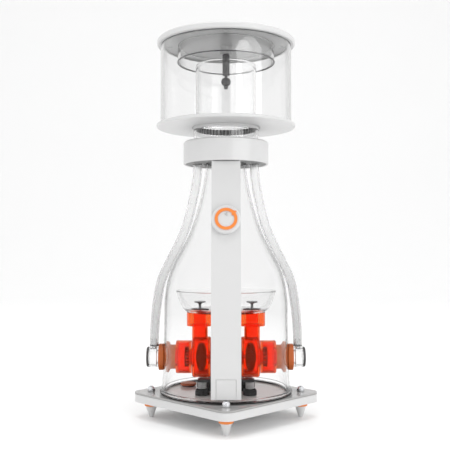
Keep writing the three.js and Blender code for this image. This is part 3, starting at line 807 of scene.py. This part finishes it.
def make_screw(node):
    """A domed socket screw, with a hexagon socket cut in its head."""
    middle, top = centre_of(node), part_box(node)[1].z
    where = upright(node)
    outline, _ = section(node, where)
    solid = [p for p in outline if not (p[0] < 2.2 * MM and p[1] > top - 4 * MM)]
    solid = [p for p in solid if p[0] > 0.01 * MM or p[1] < middle.z]
    ordered = solid if solid[0][1] < solid[-1][1] else solid[::-1]
    outline = [*ordered, (0.0, top)]
    piece = spun(f"{node}_fine", rounded(outline, False, 0.5 * MM), False, where, SMALL)
    across, floor = 2.3 * MM, top - 3.2 * MM
    socket = spun("socket", [(0, floor), (across, floor), (across, top + MM), (0, top + MM)], False,
                  where, 6)
    combine(piece, [socket], "DIFFERENCE")
    show(piece, "root", "steel", node)


# ------------------------------------------------------------------ body, collar and hoses
def make_body():
    across = placed("X", (0, 0, centre_of("rotor_shaft").z))
    back = placed("Y", (0, 0, centre_of("cable_gland").z))
    holes = [drill(13.3, 60, 100, across), drill(13.3, -100, -60, across),
             drill(7.3, 60, 100, back)]
    remade("body_shell", angle=-90, bevel=0.8 * MM, cuts=holes)
    remade("body_seal", bevel=0.5 * MM)
    remade("cable_gland", back, angle=0, sides=SMALL)


# The air hose's route, as in the CAD part: (distance from the axis, height), in metres
HOSE_ROUTE = [(x * MM, z * MM) for x, z in (
    (38, 340.5), (38.2, 322), (41.2, 300), (52.2, 254), (62.9, 228), (73.5, 207), (85.5, 180.4),
    (91.3, 150), (94.3, 118), (95, 93.4))]
HOSE_TOP, HOSE_END = HOSE_ROUTE[0], HOSE_ROUTE[-1]


def hose_ports(height):
    """Cutters for the two holes that the hoses go up into."""
    return [drill(6.4, 0, 10, placed("Z", (sign * HOSE_TOP[0], 0, height)))
            for sign in SIDES.values()]


def make_collar():
    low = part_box("collar")[0].z
    remade("collar", angle=-90, bevel=1.0 * MM, cuts=hose_ports(low))
    # A dark grey sheet under the collar's web: painted shade, for the shade that falls under the collar
    shade_sheet = ring_solid("collar_shade_sheet", [(29.2, 0.7), (53.4, 0.7), (53.4, 1.8), (29.2, 1.8)],
                       Matrix.Translation((0, 0, low)), FINE, 0.2 * MM)
    combine(shade_sheet, hose_ports(low - 2 * MM), "DIFFERENCE")
    show(shade_sheet, "root", "grey_acrylic", looks="painted_shade_grey")


def route_curve():
    """Close points along the hose's route, as a smooth curve through its corners."""
    def beyond(end, before):
        return 2 * end[0] - before[0], 2 * end[1] - before[1]

    ends = [beyond(HOSE_TOP, HOSE_ROUTE[1]), *HOSE_ROUTE, beyond(HOSE_END, HOSE_ROUTE[-2])]
    sharp = [False] * len(ends)
    points = [HOSE_TOP]
    for i in range(1, len(ends) - 2):
        points += bowed(ends, i, sharp, steps=10)
        points.append(ends[i + 1])
    return points


def make_hose(side):
    """A hollow hose swept along its route, open at both ends."""
    sign = SIDES[side]
    outer, inner, sides = 6 * MM, 4.2 * MM, 32
    route = [Vector((sign * x, 0, z)) for x, z in route_curve()]
    work = bmesh.new()
    loops = []
    for i, here in enumerate(route):
        along = (route[min(i + 1, len(route) - 1)] - route[max(i - 1, 0)]).normalized()
        across = along.cross(Vector((0, 1, 0))).normalized()
        pair = []
        for radius in (outer, inner):
            ring = []
            for k in range(sides):
                angle = 2 * math.pi * k / sides
                out = across * math.cos(angle) + Vector((0, 1, 0)) * math.sin(angle)
                ring.append(work.verts.new(here + out * radius))
            pair.append(ring)
        loops.append(pair)
    for k in range(sides):
        m = (k + 1) % sides
        for first, second in zip(loops, loops[1:]):
            for layer in (0, 1):
                work.faces.new((first[layer][k], first[layer][m], second[layer][m],
                                second[layer][k]))
        for pair in (loops[0], loops[-1]):
            work.faces.new((pair[0][k], pair[0][m], pair[1][m], pair[1][k]))
    piece = mesh_object(f"air_hose_{side}_fine", work)
    show(piece, "root", "grey_silicone", f"air_hose_{side}")


# ------------------------------------------------------------------ column and dial
def dial_axis():
    joint = next(j for j in frame["joints"] if j["name"] == "dial_turn")
    return placed(joint["axis"], joint["pos_m"])


def reach_along(where, node):
    """How far a node reaches along an axis."""
    down = where.inverted()
    return max((down @ v.co).z for v in frame["nodes"][node].data.vertices)


def arrow_head(name, place, width, thickness, where, face, degrees):
    """A flat triangle on the dial, pointing round it."""
    work = bmesh.new()
    x, y = place
    half = width / 2
    corners = [(x - half, y - half * 0.6), (x + half, y - half * 0.6), (x, y + half * 0.9)]
    lower = [work.verts.new((a * MM, b * MM, 0)) for a, b in corners]
    upper = [work.verts.new((a * MM, b * MM, thickness * MM)) for a, b in corners]
    work.faces.new(lower)
    work.faces.new(upper)
    for k in range(3):
        m = (k + 1) % 3
        work.faces.new((lower[k], lower[m], upper[m], upper[k]))
    turn = Matrix.Translation((0, 0, face)) @ Matrix.Rotation(math.radians(degrees), 4, "Z")
    bmesh.ops.transform(work, matrix=where @ turn, verts=work.verts)
    return mesh_object(name, work)


def make_column():
    softened("column_cover", 0.8 * MM)
    softened("outlet_panel", 0.35 * MM)


def make_dial():
    where = dial_axis()
    remade("level_knob", where, bevel=1.0 * MM)
    face = reach_along(where, "level_knob") + 0.3 * MM
    ring = ring_solid("knob_ring_fine", [(10.2, 0), (14, 0), (14, 0.9), (10.2, 0.9)],
                      where @ Matrix.Translation((0, 0, face)), FINE, 0.25 * MM)
    combine(ring, [arrow_head("arrow", (12.1, 0), 8.4, 0.9, where, face, 45)], "UNION")
    show(ring, "dial", "orange_plastic", "knob_ring")
    show(arrow_head("dial_pointer", (6.4, 0), 5.0, 0.6, where, face, 90), "dial", "grey_acrylic")
    remade("valve_disc", where, sides=SMALL)


# ------------------------------------------------------------------ pump
def make_side(side):
    axis, away = pump_axis(side), outward(side)
    height = centre_of("rotor_shaft").z
    remade(f"intake_barrel_{side}", axis, sides=MEDIUM, bevel=0.8 * MM)
    make_cap(side, axis, away, height)
    union = f"outlet_union_{side}"
    remade(union, upright(union), sides=MEDIUM, bevel=0.6 * MM)
    make_volute(side, axis, away, height)
    make_impeller(side, axis)
    make_bulkhead(side, axis)
    make_diffuser_cap(side)
    make_venturi(side, axis)
    make_barb(side, away)


def make_cap(side, axis, away, height):
    """The intake cap, with the dark rings at its mouth and round the hose's end."""
    cap = f"intake_cap_{side}"
    airway = drill(2.4, 5, 30, away @ placed("Z", (HOSE_END[0], 0, height)), SMALL)
    remade(cap, axis, sides=MEDIUM, bevel=0.8 * MM, cuts=[airway])
    low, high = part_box(cap)
    mouth = axis @ Matrix.Translation((0, 0, max(high.x, -low.x) - 1.0 * MM))
    torus(f"cap_ring_{side}", (high.z - low.z) / 2 - 1.1 * MM, 0.8 * MM, mouth, "root",
          "dark_plastic")
    hose_end = away @ placed("Z", (HOSE_END[0], 0, HOSE_END[1] + 0.6 * MM))
    torus(f"hose_ring_{side}", 5.6 * MM, 0.55 * MM, hose_end, "root", "dark_plastic", sides=SMALL)


def make_volute(side, axis, away, height):
    """A drum and a rising pipe, hollowed as one."""
    node = f"volute_{side}"
    start, end, radius, wall = 20.1, 44.4, 26.7, 2.6
    drum = rod_solid(f"{node}_fine", [(0, start), (radius, start), (radius, end), (0, end)], axis,
                     FINE, 2.5 * MM)
    pipe_where = away @ placed("Z", (PIPE_REACH, 0, height))
    top = (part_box(node)[1].z - height) / MM
    pipe = rod_solid("pipe", [(0, 5), (10.4, 5), (10.4, top), (0, top)], pipe_where)
    combine(drum, [pipe], "UNION")
    round_corner = 0.3 * MM
    hollows = [drill(22.7, start + wall, end - wall, axis, bevel=MM),
               drill(11, 30, 50, axis, bevel=round_corner),
               drill(8, 15, 30, axis, bevel=round_corner),
               drill(8, 0, 60, pipe_where, bevel=round_corner)]
    combine(drum, hollows, "DIFFERENCE")
    show(drum, "root", "red_acrylic", node)


def add_pin(work, axis, radius, angle, height, length, segments):
    """A pin along the pump's axis, its middle at a radius, angle and height in millimetres."""
    spot = Vector((radius * math.cos(angle), radius * math.sin(angle), height)) * MM
    bmesh.ops.create_cone(work, cap_ends=True, segments=segments, radius1=PIN_RADIUS,
                          radius2=PIN_RADIUS, depth=length * MM,
                          matrix=axis @ Matrix.Translation(spot))


def make_impeller(side, axis):
    """A pinwheel: a disc with rings of pins on both its faces, shorter towards the rim."""
    node = f"impeller_{side}"
    middle, rim, hub, longest = 32.5, 19.0, 5.5, 14.0
    disc = rod_solid(f"{node}_fine", [(0, 26), (hub, 26), (hub, middle - 1), (rim, middle - 1),
                                      (rim, middle + 1), (hub, middle + 1), (hub, 39.6),
                                      (0, 39.6)], axis, MEDIUM, 0.4 * MM)
    combine(disc, [drill(2.7, 20, 50, axis, SMALL, 0.3 * MM)], "DIFFERENCE")
    work = bmesh.new()
    work.from_mesh(disc.data)
    for radius, count in ((8.2, 14), (11.2, 18), (14.2, 24), (16.9, 28)):
        length = longest * math.sqrt(1 - (radius / (rim + 0.6)) ** 2)
        for k in range(count):
            add_pin(work, axis, radius, 2 * math.pi * (k + radius) / count, middle, length, 8)
    work.to_mesh(disc.data)
    work.free()
    shade(disc)
    show(disc, "rotor", "black_plastic", node)


def make_bulkhead(side, axis):
    """The sleeve inside the wall and the nut outside, both cut to the wall's round."""
    top, bottom = 0.12, 0.045
    r_out, r_in = WALL_OUTSIDE + CLEARANCE, WALL_INSIDE - CLEARANCE
    sleeve = ring_solid(f"intake_sleeve_{side}_fine",
                        [(10, 66), (16, 66), (16, 73.5), (20.4, 76), (20.4, 84), (10, 84)], axis,
                        FINE, 0.5 * MM)
    shell = spun("shell", [(r_in, bottom), (100 * MM, bottom), (100 * MM, top), (r_in, top)], True,
                 Matrix.Identity(4), FINE)
    combine(sleeve, [shell], "DIFFERENCE")
    stub = ring_solid("stub", [(10, 70), (13, 70), (13, 88.6), (10, 88.6)], axis, FINE)
    combine(sleeve, [stub], "UNION")
    show(sleeve, "root", "orange_plastic", f"intake_sleeve_{side}", looks="amber_acrylic")
    nut = ring_solid(f"wall_nut_{side}_fine", [(13.3, 78), (17.3, 78), (17.3, 88.6), (13.3, 88.6)],
                     axis, FINE, 0.8 * MM)
    core = spun("core", [(0, bottom), (r_out, bottom), (r_out, top), (0, top)], False,
                Matrix.Identity(4), FINE)
    combine(nut, [core], "DIFFERENCE")
    show(nut, "root", "orange_plastic", f"wall_nut_{side}", looks="orange_rubber")


def make_venturi(side, axis):
    """Two rings joined by a cage of pins, inside the barrel."""
    work = bmesh.new()
    for near, far in ((48.3, 49.5), (53.2, 54.2)):
        ring = ring_solid("ring", [(10.4, near), (13.4, near), (13.4, far), (10.4, far)], axis,
                          MEDIUM, 0.2 * MM)
        work.from_mesh(ring.data)
        bpy.data.objects.remove(ring)
    pins = 16
    for k in range(pins):
        add_pin(work, axis, 12, 2 * math.pi * k / pins, 51.3, 5, 10)
    cage = bpy.data.meshes.new("venturi")
    work.to_mesh(cage)
    work.free()
    piece = bpy.data.objects.new(f"venturi_{side}", cage)
    bpy.context.scene.collection.objects.link(piece)
    shade(piece)
    show(piece, "root", "black_plastic")


def make_barb(side, away):
    """The barbed spout on the intake cap, inside the hose's end."""
    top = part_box(f"intake_cap_{side}")[1].z
    spout = [(2.4, -0.6), (3.7, -0.6), (3.7, 3), (4.1, 4), (3.7, 6.5), (4.1, 7.5), (3.5, 10.5),
             (2.4, 10.5)]
    show(ring_solid(f"hose_barb_{side}", spout, away @ placed("Z", (HOSE_END[0], 0, top)), SMALL,
                    0.2 * MM), "root", "clear_acrylic")


def make_diffuser_cap(side):
    """The small clear cap over an outlet, on three arms, and the gaskets round the outlet."""
    node = f"diffuser_cap_{side}"
    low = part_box(node)[0]
    x = SIDES[side] * PIPE_REACH
    middle = Matrix.Translation((x, 0, low.z))
    stem = rod_solid(f"{node}_fine", [(0, 0), (3, 0), (1.8, 2.5), (1.8, 6.6), (4, 8), (7.4, 8.4),
                                      (7.4, 9.8), (0, 10.2)], middle, SMALL)
    arms = []
    for k in range(3):
        turn = Matrix.Rotation(2 * math.pi * k / 3, 4, "Z")
        place = middle @ turn @ Matrix.Translation((5 * MM, 0, 0.7 * MM))
        arms.append(box_solid("arm", (10 * MM, 2 * MM, 1.4 * MM), place))
    combine(stem, arms, "UNION")
    show(stem, "root", "clear_acrylic", node, looks="smoked_acrylic")
    bowl_floor = low.z - 0.3 * MM
    for radius, height in ((11.5, bowl_floor + 0.5 * MM), (16.6, bowl_floor - 2.7 * MM)):
        torus(f"bowl_gasket_{side}_{int(radius)}", radius * MM, 0.6 * MM,
              placed("Z", (x, 0, height)), "root", "black_rubber")


def make_post_sleeve(place, foot):
    """The ribbed damper between a rubber foot and the ear of the cradle."""
    middle, top = centre_of(foot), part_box(foot)[1].z
    pitch = 2.9
    ribs = []
    for k in range(3):
        ribs += [(5.0, pitch * k + 0.1), (5.7, pitch * k + 0.6), (5.7, pitch * k + 2.2),
                 (5.0, pitch * k + 2.7)]
    sleeve = ring_solid(f"post_sleeve_{place}", [*ribs, (4.7, 8.8), (4.7, 0.1)],
                        Matrix.Translation((middle.x, middle.y, top)), SMALL, 0.15 * MM)
    show(sleeve, "root", "grey_silicone", looks="grey_rubber")


def make_pump():
    softened("motor_housing", 1.5 * MM)
    softened("pump_cradle", 0.5 * MM)
    axis = pump_axis()
    remade("rotor_shaft", axis, sides=SMALL)
    remade("rotor_magnet", axis, sides=MEDIUM)
    for side in SIDES:
        remade(f"bearing_{side}", pump_axis(side), sides=MEDIUM)
        make_side(side)
    for place in ("front_left", "front_right", "rear_left", "rear_right"):
        node = f"pump_foot_{place}"
        remade(node, upright(node), sides=SMALL, bevel=0.8 * MM)
        make_post_sleeve(place, node)
    bowl_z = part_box("diffuser_bowl")[0].z
    holes = [drill(8, -10, 10, placed("Z", (sign * PIPE_REACH, 0, bowl_z)))
             for sign in SIDES.values()]
    remade("diffuser_bowl", bevel=0.8 * MM, cuts=holes)


# ------------------------------------------------------------------ cup and lid
def make_cup():
    remade("cup_floor", bevel=1.4 * MM)
    remade("cup_wall", bevel=0.4 * MM, looks="cup_acrylic")
    remade("cup_riser", bevel=1.2 * MM, looks="cup_acrylic")
    remade("cup_neck", bevel=0.4 * MM, looks="cup_acrylic")
    remade("neck_seal", bevel=0.7 * MM)
    make_tooth_ring()


def make_tooth_ring(teeth=52):
    """The white ring round the riser's foot, with dark upright teeth on its inside."""
    low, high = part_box("riser_ring")
    ring = ring_solid("riser_ring_fine", [(43.1, 0), (44.6, 0), (44.6, 8), (43.1, 8)],
                      Matrix.Translation((0, 0, low.z)), FINE)
    show(ring, "cup", "white_plastic", "riser_ring")
    work = bmesh.new()
    size = Matrix.Diagonal((2.0 * MM, 2.6 * MM, high.z - low.z - 0.6 * MM, 1))
    for k in range(teeth):
        turn = Matrix.Rotation(2 * math.pi * (k + 0.5) / teeth, 4, "Z")
        place = Matrix.Translation((42.2 * MM, 0, (low.z + high.z) / 2))
        bmesh.ops.create_cube(work, size=1, matrix=turn @ place @ size)
    bmesh.ops.bevel(work, geom=work.edges[:], offset=0.35 * MM, segments=2, affect="EDGES",
                    profile=0.5)
    show(mesh_object("riser_teeth", work), "cup", "dark_plastic")


def make_lid():
    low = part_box("lid")[0]
    vents = []
    for k in range(4):
        place = Matrix.Rotation(k * math.pi / 2, 4, "Z") @ placed("Z", (76 * MM, 0, low.z))
        vents.append(drill(4.7, -5, 20, place, SMALL))
    remade("lid", angle=45, bevel=1.2 * MM, cuts=vents)
    remade("lid_skirt", bevel=0.4 * MM, looks="cup_acrylic")
    skirt_low, skirt_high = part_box("lid_skirt")
    torus("skirt_ring", skirt_high.x - 0.2 * MM, 0.9 * MM, placed("Z", (0, 0, skirt_low.z)), "lid",
          "dark_plastic", sides=FINE)
    torus("lid_gasket", 85.8 * MM, 0.5 * MM, placed("Z", (0, 0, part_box("cup_wall")[1].z)), "lid",
          "dark_plastic", sides=FINE)
    remade("cleaner_shaft", sides=SMALL, bevel=0.5 * MM)
    remade("cleaner_knob", sides=MEDIUM, bevel=1.2 * MM)


add_camera()
add_world()
add_softboxes()
add_stage()
make_base()
make_body()
make_collar()
for hose_side in SIDES:
    make_hose(hose_side)
make_column()
make_dial()
make_pump()
make_cup()
make_lid()

bpy.context.scene.view_settings.view_transform = "Standard"
# Light passes many clear walls here before it reaches the parts inside
bpy.context.scene.cycles.max_bounces = 28
bpy.context.scene.cycles.transmission_bounces = 28
